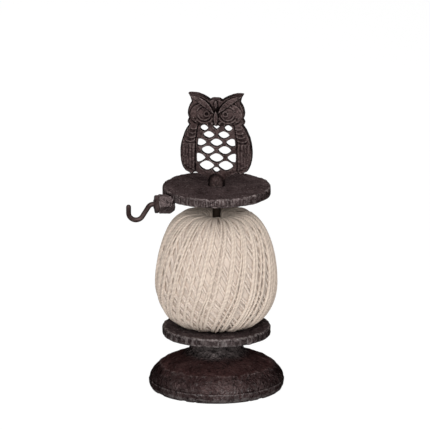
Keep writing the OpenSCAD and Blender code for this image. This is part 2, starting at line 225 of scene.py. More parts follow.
height = add_node(tree, "ShaderNodeMath", {1: CREASE_HEIGHT}, operation="MULTIPLY_ADD")
link(tree, (place.outputs[0], blotches.inputs["Vector"]), (place.outputs[0], grain.inputs["Vector"]),
     (place.outputs[0], cells.inputs["Vector"]), (cells.outputs[0], pits.inputs["Value"]),
     (place.outputs[0], wrinkles.inputs["Vector"]), (pits.outputs[0], deep.inputs[0]),
     (deep.outputs[0], fine.inputs[0]), (grain.outputs[0], fine.inputs[1]),
     (wrinkles.outputs[0], wrinkled.inputs[0]), (fine.outputs[0], wrinkled.inputs[2]),
     (place.outputs[0], folds.inputs["Vector"]), (folds.outputs[0], off_middle.inputs[0]),
     (off_middle.outputs[0], either_side.inputs[0]), (either_side.outputs[0], creases.inputs["Value"]),
     (creases.outputs[0], height.inputs[0]), (wrinkled.outputs[0], height.inputs[2]),
     (blotches.outputs[0], result.inputs["Blotches"]), (grain.outputs[0], result.inputs["Grain"]),
     (creases.outputs[0], result.inputs["Creases"]), (height.outputs[0], result.inputs["Height"]))
print("group", cast_skin.name)

# %% [markdown]
# ## Rubbed edges, painted highlights and shade
# Where hands and brushes reach, the dark wax thins and the iron under it shows a lighter grey-brown, while wax stays in
# the hollows. The ridges are also painted lighter as highlights, and the hollows darker as shade. A helper further down
# measures how far each point stands out from its surroundings, in millimetres, and stores that with the mesh. This
# group turns it into a mask of the ridges, for the rub and the painted highlight, broken up with grain so that the rub
# isn't a clean line, and a mask of the hollows, for grime and painted shade.

# %% Node group: rubbed edges, painted highlights and shade
rubbed_edges_and_painted_light = bpy.data.node_groups.new("rubbed_edges_and_painted_light", "ShaderNodeTree")
for socket in ("Standing out", "Grain", "Low", "High"):
    rubbed_edges_and_painted_light.interface.new_socket(socket, in_out="INPUT", socket_type="NodeSocketFloat")
for socket in ("Rub and highlight", "Hollow"):
    rubbed_edges_and_painted_light.interface.new_socket(socket, in_out="OUTPUT", socket_type="NodeSocketFloat")
HOLLOW_FROM, HOLLOW_FULL = -0.01, -0.16
tree = rubbed_edges_and_painted_light
place = add_node(tree, "NodeGroupInput")
result = add_node(tree, "NodeGroupOutput")
# Painted highlight: the ridge mask lightens ridges, for the rubbed wax and for the light they catch.
ridge = add_node(tree, "ShaderNodeMapRange", interpolation_type="SMOOTHSTEP")
break_up = add_node(tree, "ShaderNodeMapRange", {"From Min": 0.3, "From Max": 0.65, "To Min": 0.35})
rub = add_node(tree, "ShaderNodeMath", operation="MULTIPLY")
sunk = add_node(tree, "ShaderNodeMapRange", {"From Min": HOLLOW_FROM, "From Max": HOLLOW_FULL},
                interpolation_type="SMOOTHSTEP")
link(tree, (place.outputs["Standing out"], sunk.inputs["Value"]), (sunk.outputs[0], result.inputs["Hollow"]),
     (place.outputs["Standing out"], ridge.inputs["Value"]), (place.outputs["Low"], ridge.inputs["From Min"]),
     (place.outputs["High"], ridge.inputs["From Max"]), (place.outputs["Grain"], break_up.inputs["Value"]),
     (ridge.outputs[0], rub.inputs[0]), (break_up.outputs[0], rub.inputs[1]), (rub.outputs[0], result.inputs["Rub and highlight"]))
print("group", rubbed_edges_and_painted_light.name)

# %% [markdown]
# ## Marks of the dressing wheel and painted highlights
# The edges of the discs and the rim of the foot were dressed while they turned past a coarse wheel, which leaves short
# upright strokes, lighter where the wheel bit. Slow patches decide where the strokes show, which paints a highlight on
# the rims there. The group measures the angle round the spindle and stretches a noise along the height, so that the
# strokes stand upright all the way round. Inside one radius the metal is painted lighter: bare round a bore, and as a
# painted highlight on the foot's neck. Outside another radius it was filed, as on a lug.

# %% Node group: wheel marks and painted highlights
wheel_marks_and_painted_light = bpy.data.node_groups.new("wheel_marks_and_painted_light", "ShaderNodeTree")
for socket in ("Position", "Normal"):
    wheel_marks_and_painted_light.interface.new_socket(socket, in_out="INPUT", socket_type="NodeSocketVector")
for socket in ("Outermost", "Innermost"):
    wheel_marks_and_painted_light.interface.new_socket(socket, in_out="INPUT", socket_type="NodeSocketFloat")
wheel_marks_and_painted_light.interface.new_socket("Marks and highlights", in_out="OUTPUT", socket_type="NodeSocketFloat")
STROKES_PER_TURN = 26
STROKE_HEIGHT = 55
# Painted highlight: slow patches decide where the strokes show, which lightens the rims there.
MARK_AND_HIGHLIGHT_PATCH_SCALE = 26
FILED_LUG = 0.14
INNER_FADE = 1.25
tree = wheel_marks_and_painted_light
place = add_node(tree, "NodeGroupInput")
result = add_node(tree, "NodeGroupOutput")
axes = add_node(tree, "ShaderNodeSeparateXYZ")
angle = add_node(tree, "ShaderNodeMath", operation="ARCTAN2")
around = add_node(tree, "ShaderNodeMath", {1: STROKES_PER_TURN}, operation="MULTIPLY")
along = add_node(tree, "ShaderNodeMath", {1: STROKE_HEIGHT}, operation="MULTIPLY")
unrolled = add_node(tree, "ShaderNodeCombineXYZ")
strokes = add_node(tree, "ShaderNodeTexNoise", {"Scale": 1, "Detail": 3, "Roughness": 0.6})
clear = add_node(tree, "ShaderNodeMapRange", {"From Min": 0.48, "From Max": 0.64})
facing = add_node(tree, "ShaderNodeSeparateXYZ")
slope = add_node(tree, "ShaderNodeMath", operation="ABSOLUTE")
upright = add_node(tree, "ShaderNodeMapRange", {"From Min": 0.2, "From Max": 0.45, "To Min": 1, "To Max": 0})
# Patches of the strokes and of the rims' painted highlight.
reach = add_node(tree, "ShaderNodeTexNoise", {"Scale": MARK_AND_HIGHLIGHT_PATCH_SCALE, "Detail": 1, "Roughness": 0.5})
patchy_marks_and_highlight = add_node(tree, "ShaderNodeMapRange", {"From Min": 0.4, "From Max": 0.56, "To Min": 0.35})
flat = add_node(tree, "ShaderNodeVectorMath", {1: (1, 1, 0)}, operation="MULTIPLY")
radius = add_node(tree, "ShaderNodeVectorMath", operation="LENGTH")
within = add_node(tree, "ShaderNodeMath", operation="LESS_THAN")
times_inner_radius = add_node(tree, "ShaderNodeMath", operation="DIVIDE")
# Inside the innermost radius: bare round a bore, and a painted highlight on the foot's neck.
inner_bare_and_highlight = add_node(tree, "ShaderNodeMapRange", {"From Min": INNER_FADE, "From Max": 1}, interpolation_type="SMOOTHSTEP")
on_disc = add_node(tree, "ShaderNodeMath", operation="MULTIPLY")
where = add_node(tree, "ShaderNodeMath", operation="MULTIPLY")
strokes_there = add_node(tree, "ShaderNodeMath", operation="MULTIPLY")
filed = add_node(tree, "ShaderNodeMapRange", {"To Min": FILED_LUG, "To Max": 0})
on_rim = add_node(tree, "ShaderNodeMath", operation="MAXIMUM")
marks = add_node(tree, "ShaderNodeMath", operation="MAXIMUM")
link(tree, (place.outputs["Position"], axes.inputs[0]), (axes.outputs["Y"], angle.inputs[0]),
     (axes.outputs["X"], angle.inputs[1]), (angle.outputs[0], around.inputs[0]), (axes.outputs["Z"], along.inputs[0]),
     (around.outputs[0], unrolled.inputs["X"]), (along.outputs[0], unrolled.inputs["Y"]),
     (unrolled.outputs[0], strokes.inputs["Vector"]), (strokes.outputs[0], clear.inputs["Value"]),
     (place.outputs["Normal"], facing.inputs[0]), (facing.outputs["Z"], slope.inputs[0]),
     (slope.outputs[0], upright.inputs["Value"]), (place.outputs["Position"], reach.inputs["Vector"]),
     (place.outputs["Position"], flat.inputs[0]), (flat.outputs[0], radius.inputs[0]),
     (radius.outputs["Value"], within.inputs[0]), (place.outputs["Outermost"], within.inputs[1]),
     (radius.outputs["Value"], times_inner_radius.inputs[0]), (place.outputs["Innermost"], times_inner_radius.inputs[1]),
     (times_inner_radius.outputs[0], inner_bare_and_highlight.inputs["Value"]), (inner_bare_and_highlight.outputs[0], marks.inputs[1]),
     (within.outputs[0], on_disc.inputs[0]), (upright.outputs[0], on_disc.inputs[1]),
     (reach.outputs[0], patchy_marks_and_highlight.inputs["Value"]), (patchy_marks_and_highlight.outputs[0], where.inputs[0]),
     (on_disc.outputs[0], where.inputs[1]), (clear.outputs[0], strokes_there.inputs[0]),
     (where.outputs[0], strokes_there.inputs[1]), (strokes_there.outputs[0], on_rim.inputs[0]),
     (within.outputs[0], filed.inputs["Value"]), (filed.outputs[0], on_rim.inputs[1]),
     (on_rim.outputs[0], marks.inputs[0]), (marks.outputs[0], result.inputs["Marks and highlights"]))
print("group", wheel_marks_and_painted_light.name)

# %% [markdown]
# ## Which way a face looks
# Dust lies on level faces and makes them dull, and they are painted lighter there as top light, while upright faces
# keep the sheen of metal. The owl is a flat relief: brushes reach its front and its back, and its flanks are painted
# darker as shade. The normal of a face, in the object's own axes, tells all of this, so one helper adds these masks to
# a material.

# %% Masks by direction
LEVEL_FULL = 0.98
FLANK_FROM, RUB_ENDS, FLANK_FULL = 0.06, 0.36, 0.56
# Painted shade: how much darker the owl's flanks are painted.
FLANK_PAINTED_SHADE = 0.8


def face_masks(tree, normal, level_from, flat_relief):
    """Masks of level faces, of all others, of the rubbed front of a relief and of the painted shade on its flanks."""
    facing = add_node(tree, "ShaderNodeSeparateXYZ")
    level = add_node(tree, "ShaderNodeMapRange", {"From Min": level_from, "From Max": LEVEL_FULL})
    not_level = add_node(tree, "ShaderNodeMath", {0: 1}, operation="SUBTRACT")
    front = add_node(tree, "ShaderNodeMath", operation="ABSOLUTE")
    aside = add_node(tree, "ShaderNodeMath", {0: 1}, operation="SUBTRACT")
    flank = add_node(tree, "ShaderNodeMath", {1: flat_relief}, operation="MULTIPLY")
    reached = add_node(tree, "ShaderNodeMapRange",
                       {"From Min": FLANK_FROM, "From Max": RUB_ENDS, "To Min": 1, "To Max": 0})
    flank_painted_shade = add_node(tree, "ShaderNodeMapRange",
                           {"From Min": FLANK_FROM, "From Max": FLANK_FULL, "To Max": FLANK_PAINTED_SHADE},
                           interpolation_type="SMOOTHSTEP")
    shade = add_node(tree, "ShaderNodeMath", operation="MULTIPLY")
    link(tree, (normal, facing.inputs[0]), (facing.outputs["Z"], level.inputs["Value"]),
         (level.outputs[0], not_level.inputs[1]), (facing.outputs["Y"], front.inputs[0]),
         (front.outputs[0], aside.inputs[1]), (aside.outputs[0], flank.inputs[0]),
         (flank.outputs[0], reached.inputs["Value"]), (flank.outputs[0], flank_painted_shade.inputs["Value"]),
         (flank_painted_shade.outputs[0], shade.inputs[0]), (not_level.outputs[0], shade.inputs[1]))
    return {"level": level.outputs[0], "not level": not_level.outputs[0], "reached": reached.outputs[0],
            "shade": shade.outputs[0]}


print("masks by direction ready")

# %% [markdown]
# ## Wear, grime, painted highlights and shade
# Bare metal and painted highlights show on the ridges and where the wheel bit, fine specks are painted glints, and
# grime and painted shade fill the creases and hollows. Each of the two masks is the strongest of its causes at a place,
# which the Maximum of a Math node gives.

# %% Masks of wear, painted highlights and shade
RIDGE_FROM, RIDGE_FULL = 0.03, 0.22
# Painted glints: bright specks where the grain is high.
PAINTED_GLINT_SHARE = 0.5
# Painted shade: creases are darkened towards the grime colour, for grime and for the shade that falls in them.
CREASE_GRIME_AND_SHADE = 0.7


def wear_and_painted_light_masks(tree, place, skin, wheel_and_highlight, wheel_reach, bare_and_highlight_r):
    """The masks of bare metal with painted highlights and glints, and of grime with painted shade."""
    shape = add_node(tree, "ShaderNodeAttribute", attribute_name="relief")
    edges = add_node(tree, "ShaderNodeGroup", {"Low": RIDGE_FROM, "High": RIDGE_FULL}, node_tree=rubbed_edges_and_painted_light)
    wheeled = add_node(tree, "ShaderNodeGroup", {"Outermost": wheel_reach, "Innermost": bare_and_highlight_r},
                       node_tree=wheel_marks_and_painted_light)
    wheel_bite_and_highlight = add_node(tree, "ShaderNodeMath", {1: wheel_and_highlight}, operation="MULTIPLY")
    # Painted glints on the grain.
    painted_glints = add_node(tree, "ShaderNodeMapRange", {"From Min": 0.56, "From Max": 0.74, "To Max": PAINTED_GLINT_SHARE})
    ridge_rubs_and_glints = add_node(tree, "ShaderNodeMath", operation="MAXIMUM")
    rubs_and_highlights = add_node(tree, "ShaderNodeMath", operation="MAXIMUM")
    crease_grime_and_shade = add_node(tree, "ShaderNodeMath", {1: CREASE_GRIME_AND_SHADE}, operation="MULTIPLY")
    # Grime and painted shade in the hollows and creases, whichever is stronger.
    grime_and_shade = add_node(tree, "ShaderNodeMath", operation="MAXIMUM")
    link(tree, (shape.outputs["Fac"], edges.inputs["Standing out"]), (skin.outputs["Grain"], edges.inputs["Grain"]),
         (place.outputs["Object"], wheeled.inputs["Position"]), (place.outputs["Normal"], wheeled.inputs["Normal"]),
         (wheeled.outputs["Marks and highlights"], wheel_bite_and_highlight.inputs[0]), (skin.outputs["Grain"], painted_glints.inputs["Value"]),
         (edges.outputs["Rub and highlight"], ridge_rubs_and_glints.inputs[0]), (painted_glints.outputs[0], ridge_rubs_and_glints.inputs[1]),
         (wheel_bite_and_highlight.outputs[0], rubs_and_highlights.inputs[0]), (ridge_rubs_and_glints.outputs[0], rubs_and_highlights.inputs[1]),
         (skin.outputs["Creases"], crease_grime_and_shade.inputs[0]), (crease_grime_and_shade.outputs[0], grime_and_shade.inputs[0]),
         (edges.outputs["Hollow"], grime_and_shade.inputs[1]))
    return rubs_and_highlights.outputs[0], grime_and_shade.outputs[0]


print("masks of wear ready")

# %% [markdown]
# ## Dark brown cast iron
# The castings are near black with a red-brown cast, and no two of them have quite the same sheen. One function makes
# the material for a piece: two browns in blotches, then the rubbed metal with painted highlights, the grime with
# painted shade, the dust with top light painted in and the painted shade of the flanks, each laid over the one before
# by its mask. Dust also takes away the metal's own reflection.

# %% Material: cast iron
# This dark colour is grime, and painted shade where it fills creases and hollows.
GRIME_AND_SHADE = (0.006, 0.004, 0.004)
# Dust with top light painted in: level faces are made duller and lighter.
LEVEL_DUST_AND_TOP_LIGHT = (1.36, 1.33, 1.32)
PAST_ANY_PIECE = 1.0


def cast_iron(name, dark, light, rubbed_and_highlight, roughness=0.42, wheel_and_highlight=0.0, wheel_reach=PAST_ANY_PIECE, flat_relief=0.0,
              metal=0.5, level_from=0.85, dust_and_top_light=LEVEL_DUST_AND_TOP_LIGHT, bare_and_highlight_r=3.5 * MM):
    """Waxed brown iron: blotches between two browns, rubs and wheel marks with painted highlights, painted glints,
    grime and painted shade in hollows, dust with top light painted in.
    """
    material, tree, output = empty_material(name)
    place = add_node(tree, "ShaderNodeTexCoord")
    skin = add_node(tree, "ShaderNodeGroup", node_tree=cast_skin)
    faces = face_masks(tree, place.outputs["Normal"], level_from, flat_relief)
    rubs_and_highlights, grime_and_shade = wear_and_painted_light_masks(tree, place, skin, wheel_and_highlight, wheel_reach, bare_and_highlight_r)
    # Rubbed metal and painted highlights: ridges, glints and wheel marks, on the faces the rub reaches.
    bare_and_highlit = add_node(tree, "ShaderNodeMath", operation="MULTIPLY")
    spread = add_node(tree, "ShaderNodeMapRange", {"From Min": 0.3, "From Max": 0.7})
    clean_metal = add_node(tree, "ShaderNodeMath", {1: metal}, operation="MULTIPLY")
    brown = mix_colours(tree, dark, light)
    worn_and_highlit = mix_colours(tree, light, rubbed_and_highlight)
    grimed_and_shaded = mix_colours(tree, light, GRIME_AND_SHADE)
    dusty_and_lit = mix_colours(tree, light, dust_and_top_light, "MULTIPLY")
    # Painted shade on the owl's flanks.
    flanked = mix_colours(tree, light, (0, 0, 0), "MULTIPLY")
    gloss = add_node(tree, "ShaderNodeMapRange",
                     {"From Min": 0.3, "From Max": 0.7, "To Min": roughness - 0.1, "To Max": roughness + 0.14})
    lift = add_node(tree, "ShaderNodeBump", {"Strength": 0.7, "Distance": 0.6 * MM})
    shader = add_node(tree, "ShaderNodeBsdfPrincipled", {"Specular IOR Level": 0, "Specular Tint": (0, 0, 0, 1)})
    link(tree, (place.outputs["Object"], skin.inputs["Position"]), (skin.outputs["Blotches"], spread.inputs["Value"]),
         (rubs_and_highlights, bare_and_highlit.inputs[0]), (faces["reached"], bare_and_highlit.inputs[1]),
         (spread.outputs[0], brown["factor"]), (brown["out"], worn_and_highlit["first"]), (bare_and_highlit.outputs[0], worn_and_highlit["factor"]),
         (worn_and_highlit["out"], grimed_and_shaded["first"]), (grime_and_shade, grimed_and_shaded["factor"]),
         (grimed_and_shaded["out"], dusty_and_lit["first"]), (faces["level"], dusty_and_lit["factor"]),
         (dusty_and_lit["out"], flanked["first"]), (faces["shade"], flanked["factor"]),
         (flanked["out"], shader.inputs["Base Color"]), (faces["not level"], clean_metal.inputs[0]),
         (clean_metal.outputs[0], shader.inputs["Metallic"]), (skin.outputs["Grain"], gloss.inputs["Value"]),
         (gloss.outputs[0], shader.inputs["Roughness"]), (skin.outputs["Height"], lift.inputs["Height"]),
         (lift.outputs[0], shader.inputs["Normal"]), (shader.outputs[0], output.inputs["Surface"]))
    return material


print("cast iron ready")

# %% [markdown]
# ## Four irons
# The foot is the reddest, with a painted highlight ring on its neck. The tray and the plate have the brightest edges,
# with wheel marks and painted highlights, and on the plate the wheel ends where the lug begins. The owl is rubbed and
# painted with highlights on its front and its back.

# %% The irons of the pieces
RUSTY_DUST = (1.3, 0.97, 0.94)
# On the owl too, dust with top light painted in.
OWL_DUST_AND_TOP_LIGHT = (1.25, 1.25, 1.28)
# Painted highlight: a lighter ring on the foot's neck, inside this radius.
NECK_HIGHLIGHT_R = 22 * MM
WHEEL_STOP = 44.6 * MM
foot_iron = cast_iron("foot_iron", (0.019, 0.010, 0.010), (0.051, 0.034, 0.033), (0.12, 0.106, 0.104), wheel_and_highlight=0.55,
                      metal=0.95, level_from=0.7, dust_and_top_light=RUSTY_DUST, bare_and_highlight_r=NECK_HIGHLIGHT_R)
tray_iron = cast_iron("tray_iron", (0.026, 0.018, 0.018), (0.056, 0.042, 0.042), (0.24, 0.21, 0.205),
                      roughness=0.40, wheel_and_highlight=0.85, metal=0.9)
plate_iron = cast_iron("plate_iron", (0.026, 0.0175, 0.0175), (0.058, 0.0415, 0.0415), (0.25, 0.21, 0.205),
                       wheel_and_highlight=0.9, wheel_reach=WHEEL_STOP, metal=0.9)
owl_iron = cast_iron("owl_iron", (0.036, 0.022, 0.021), (0.082, 0.057, 0.055), (0.15, 0.12, 0.115),
                     flat_relief=1.0, dust_and_top_light=OWL_DUST_AND_TOP_LIGHT)
print("irons:", foot_iron.name, tray_iron.name, plate_iron.name, owl_iron.name)

# %% [markdown]
# ## Dark oiled steel
# The spindle, the hook, the washer and the nuts are drawn steel, blackened in oil. They are smoother than the castings,
# with fine marks along the length of the wire, and the blackening is uneven. The end of the rod was cut later and is
# bare, and its top is also painted lighter as its highlight.

# %% Material: dark steel
# Bare cut end, also painted as the highlight on the rod's top.
CUT_STEEL_AND_HIGHLIGHT = (0.26, 0.26, 0.27)


def dark_steel(name, dark, light, stretch, cut_end_and_highlight=0.0):
    """Blackened steel with fine drawn marks. Stretch squeezes the pattern along the axes, and the last argument bares
    the top and paints its highlight.
    """
    material, tree, output = empty_material(name)
    place = add_node(tree, "ShaderNodeTexCoord")
    drawn = add_node(tree, "ShaderNodeMapping", {"Scale": stretch})
    marks = add_node(tree, "ShaderNodeTexNoise", {"Scale": 900, "Detail": 3, "Roughness": 0.6})
    patches = add_node(tree, "ShaderNodeTexNoise", {"Scale": 130, "Detail": 4, "Roughness": 0.6})
    spread = add_node(tree, "ShaderNodeMapRange", {"From Min": 0.35, "From Max": 0.68})
    tone = mix_colours(tree, dark, light)
    facing = add_node(tree, "ShaderNodeSeparateXYZ")
    end_face = add_node(tree, "ShaderNodeMapRange", {"From Min": 0.5, "From Max": 0.95, "To Max": cut_end_and_highlight})
    cut_and_highlit = mix_colours(tree, light, CUT_STEEL_AND_HIGHLIGHT)
    gloss = add_node(tree, "ShaderNodeMapRange",
                     {"From Min": 0.3, "From Max": 0.7, "To Min": 0.3, "To Max": 0.5})
    lift = add_node(tree, "ShaderNodeBump", {"Strength": 0.2, "Distance": 0.1 * MM})
    shader = add_node(tree, "ShaderNodeBsdfPrincipled",
                      {"Metallic": 0.6, "Specular IOR Level": 0.05, "Specular Tint": (0, 0, 0, 1)})
    link(tree, (place.outputs["Object"], drawn.inputs["Vector"]), (drawn.outputs[0], marks.inputs["Vector"]),
         (place.outputs["Object"], patches.inputs["Vector"]), (patches.outputs[0], spread.inputs["Value"]),
         (spread.outputs[0], tone["factor"]), (tone["out"], cut_and_highlit["first"]), (place.outputs["Normal"], facing.inputs[0]),
         (facing.outputs["Z"], end_face.inputs["Value"]), (end_face.outputs[0], cut_and_highlit["factor"]),
         (cut_and_highlit["out"], shader.inputs["Base Color"]), (marks.outputs[0], gloss.inputs["Value"]),
         (gloss.outputs[0], shader.inputs["Roughness"]), (marks.outputs[0], lift.inputs["Height"]),
         (lift.outputs[0], shader.inputs["Normal"]), (shader.outputs[0], output.inputs["Surface"]))
    return material


rod_steel = dark_steel("rod_steel", (0.020, 0.014, 0.011), (0.062, 0.046, 0.036), stretch=(1, 1, 0.3), cut_end_and_highlight=0.9)
hook_steel = dark_steel("hook_steel", (0.024, 0.015, 0.014), (0.066, 0.047, 0.045), stretch=(1, 1, 1))
print("steels:", rod_steel.name, hook_steel.name)

# %% [markdown]
# ## Drawing and turning a round piece
# A bell foot or a tray is round, so it is drawn as half a section and spun about the spindle. The section starts from
# a small plane that is merged to one point. The point is moved to the first corner and extruded from corner to
# corner. A full spin then gives the round, and merging its doubles closes the seam.

# %% Helpers for curves and turned pieces
def bow(start, lean, end, steps):
    """Points of a curve from start to end that leans towards a third point, without the end itself."""
    points = []
    for i in range(steps):
        t = i / steps
        points.append(tuple(a * (1 - t) ** 2 + c * 2 * t * (1 - t) + b * t ** 2
                            for a, c, b in zip(start, lean, end)))
    return points


def straight(start, end, steps):
    """Points of a straight run, without the end itself."""
    return bow(start, tuple((a + b) / 2 for a, b in zip(start, end)), end, steps)


def draw_section(name, corners):
    """Draws a closed half section of (radius, height) corners in the XZ plane, and stays in edit mode."""
    bpy.ops.object.select_all(action="DESELECT")
    bpy.ops.mesh.primitive_plane_add(size=MM)
    piece = bpy.context.object
    piece.name = piece.data.name = name
    bpy.ops.object.mode_set(mode="EDIT")
    bpy.ops.mesh.select_all(action="SELECT")
    bpy.ops.mesh.merge(type="CENTER")
    bpy.ops.transform.translate(value=(corners[0][0], 0, corners[0][1]))
    for (r0, z0), (r1, z1) in zip(corners, corners[1:] + corners[:1]):
        bpy.ops.mesh.extrude_vertices_move(TRANSFORM_OT_translate={"value": (r1 - r0, 0, z1 - z0)})
    bpy.ops.mesh.select_all(action="SELECT")
    bpy.ops.mesh.remove_doubles(threshold=0.001 * MM)
    return piece


def spin_section(piece, steps):
    """Spins the section that is being edited a full turn about the spindle, and leaves edit mode."""
    bpy.ops.mesh.select_all(action="SELECT")
    bpy.ops.mesh.spin(steps=steps, angle=2 * math.pi, center=(0, 0, 0), axis=(0, 0, 1))
    bpy.ops.mesh.select_all(action="SELECT")
    bpy.ops.mesh.remove_doubles(threshold=0.001 * MM)
    bpy.ops.mesh.normals_make_consistent(inside=False)
    bpy.ops.object.mode_set(mode="OBJECT")
    bpy.ops.object.shade_smooth()
    return piece


print("helpers ready")

# %% [markdown]
# ## An uneven surface
# Bump in a material can't change an outline, and a sand casting is never a true round. The Displace modifier moves
# the mesh itself along its normals by a cloud pattern: a slow swell of a few tenths of a millimetre, and a finer
# ripple on top of it.

# %% Helpers for modifiers
def apply_modifier(piece, kind, **settings):
    """Adds a modifier to a piece, sets it up and applies it."""
    bpy.ops.object.select_all(action="DESELECT")
    bpy.context.view_layer.objects.active = piece
    piece.select_set(True)
    bpy.ops.object.modifier_add(type=kind)
    modifier = piece.modifiers[-1]
    for setting, value in settings.items():
        setattr(modifier, setting, value)
    bpy.ops.object.modifier_apply(modifier=modifier.name)


def cloud_pattern(name, size, depth=2):
    """A cloud pattern of a given size for Displace."""
    pattern = bpy.data.textures.new(name, type="CLOUDS")
    pattern.noise_scale = size
    pattern.noise_depth = depth
    return pattern


swell_pattern = cloud_pattern("casting_swell", 16 * MM)
ripple_pattern = cloud_pattern("casting_ripple", 5 * MM)


def uneven(piece, swell, ripple):
    """Gives a piece the slow swell and the fine ripple of a casting, each in metres from crest to hollow."""
    apply_modifier(piece, "DISPLACE", texture=swell_pattern, strength=swell, mid_level=0.5)
    apply_modifier(piece, "DISPLACE", texture=ripple_pattern, strength=ripple, mid_level=0.5)


def stand_flat(piece, under):
    """Flattens everything under a height on to the floor."""
    bpy.ops.object.mode_set(mode="EDIT")
    bpy.ops.mesh.select_all(action="DESELECT")
    bpy.ops.object.mode_set(mode="OBJECT")
    for vertex in piece.data.vertices:
        vertex.select = vertex.co.z < under
    bpy.ops.object.mode_set(mode="EDIT")
    bpy.ops.transform.resize(value=(1, 1, 0), center_override=(0, 0, 0))
    bpy.ops.object.mode_set(mode="OBJECT")


def measure_relief(piece, rounds):
    """Stores how far each point stands out from its surroundings, in millimetres, as the attribute relief."""
    softened = piece.copy()
    softened.data = piece.data.copy()
    bpy.context.scene.collection.objects.link(softened)
    apply_modifier(softened, "SMOOTH", factor=0.5, iterations=rounds)
    relief = piece.data.attributes.new("relief", "FLOAT", "POINT")
    for point, soft, normal, value in zip(piece.data.vertices, softened.data.vertices,
                                          piece.data.vertex_normals, relief.data):
        value.value = (point.co - soft.co).dot(normal.vector) / MM
    bpy.data.objects.remove(softened)


def triangles(piece):
    """Number of triangles of a piece."""
    piece.data.calc_loop_triangles()
    return len(piece.data.loop_triangles)


print("patterns:", swell_pattern.name, ripple_pattern.name)

# %% [markdown]
# ## The bell foot
# The foot is a hollow bell: an upright rim on the floor, a step line, a full round shoulder, and a hollow neck that
# flares down from the tray. Its section is drawn with the same corners as the solid, but in finer steps, softened a
# little and then made uneven. The bore and the seat of the washer stay where they are, because the swell is small.

# %% Foot casting
foot_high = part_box("foot")[1]
foot_r, foot_top = foot_high.x, foot_high.z
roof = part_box("foot_washer")[1].z
BORE_R = 3.05 * MM
ROUND_STEPS = 380
rim_h, rim_tuck, rim_wall, rim_step = 7.5 * MM, 4.6 * MM, 8 * MM, 0.6 * MM
shoulder_r, shoulder_h, neck_r = 45 * MM, 20 * MM, 19.5 * MM
foot_wall = 5.5 * MM
SHOULDER_LEAN = 0.69
WAIST_OUT, WAIST_RISE = 11.2 * MM, 5.7 * MM
waist = (neck_r + WAIST_OUT, shoulder_h + WAIST_RISE)
inner_r = foot_r - rim_wall
section = (
    bow((foot_r - rim_tuck, 0), (foot_r, 0), (foot_r, rim_h / 2), 6)
    + straight((foot_r, rim_h / 2), (foot_r, rim_h), 4)
    + straight((foot_r, rim_h), (foot_r - rim_step, rim_h + rim_step), 2)
    + bow((foot_r - rim_step, rim_h + rim_step), (foot_r - rim_step, shoulder_h * SHOULDER_LEAN),
          (shoulder_r, shoulder_h), 20)
    + straight((shoulder_r, shoulder_h), waist, 14)
    + bow(waist, (neck_r, waist[1] + WAIST_RISE / 2), (neck_r, foot_top), 24)
    + straight((neck_r, foot_top), (BORE_R, foot_top), 8)
    + straight((BORE_R, foot_top), (BORE_R, roof), 6)
    + straight((BORE_R, roof), (neck_r, roof), 8)
    + straight((neck_r, roof), (shoulder_r - foot_wall / 2, shoulder_h - foot_wall), 12)
    + bow((shoulder_r - foot_wall / 2, shoulder_h - foot_wall), (inner_r, shoulder_h - foot_wall),
          (inner_r, rim_h), 8)
    + straight((inner_r, rim_h), (inner_r, 0), 4)
    + straight((inner_r, 0), (foot_r - rim_tuck, 0), 4))
foot_casting = spin_section(draw_section("foot_casting", section), ROUND_STEPS)
apply_modifier(foot_casting, "SMOOTH", factor=0.5, iterations=2)
uneven(foot_casting, swell=1.6 * MM, ripple=0.9 * MM)
stand_flat(foot_casting, under=0.5 * MM)
measure_relief(foot_casting, rounds=12)
foot_casting.data.materials.append(foot_iron)
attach(foot_casting, "base")
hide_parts("foot")
print("foot casting:", triangles(foot_casting), "triangles")

# %% [markdown]
# ## The tray
# The tray is a plain thick disc with rounded edges. Its top is as cast, with shallow dents, and its edge was dressed
# on a wheel, which leaves upright marks.

# %% Tray casting
tray_low, tray_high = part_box("tray")
tray_r = (tray_high.x - tray_low.x) / 2
EDGE_ROUND = 1.6 * MM


def disc_section(r, low, high, rounding):
    """Half section of a disc with a bore and rounded edges, in steps fine enough to be made uneven."""
    return (
        straight((BORE_R, low), (r - rounding, low), 30)
        + bow((r - rounding, low), (r, low), (r, low + rounding), 5)
        + straight((r, low + rounding), (r, high - rounding), 5)
        + bow((r, high - rounding), (r, high), (r - rounding, high), 5)
        + straight((r - rounding, high), (BORE_R, high), 30)
        + straight((BORE_R, high), (BORE_R, low), 5))


tray_casting = spin_section(
    draw_section("tray_casting", disc_section(tray_r, tray_low.z, tray_high.z, EDGE_ROUND)), ROUND_STEPS)
uneven(tray_casting, swell=1.2 * MM, ripple=0.9 * MM)
measure_relief(tray_casting, rounds=12)
tray_casting.data.materials.append(tray_iron)
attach(tray_casting, "base")
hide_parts("tray")
print("tray casting:", triangles(tray_casting), "triangles")

# %% [markdown]
# ## A casting from its solid
# The plate with its lug and the owl aren't round, and their solids already have the right forms. A copy of the solid
# is merged, because its triangles come loose. A voxel remesh then turns it into an even dense mesh, as if it had been
# rammed in sand, smoothing takes off the hard edges, and the cloud patterns do the rest.

# %% Helper for castings from solids
def cast_copy(name, node):
    """A merged copy of a solid as a new object."""
    piece = bpy.data.objects.new(name, nodes[node].data.copy())
    piece.data.name = name
    piece.data.materials.clear()
    bpy.context.scene.collection.objects.link(piece)
    bpy.ops.object.select_all(action="DESELECT")
    bpy.context.view_layer.objects.active = piece
    piece.select_set(True)
    bpy.ops.object.mode_set(mode="EDIT")
    bpy.ops.mesh.select_all(action="SELECT")
    bpy.ops.mesh.remove_doubles(threshold=0.002 * MM)
    bpy.ops.object.mode_set(mode="OBJECT")
    return piece


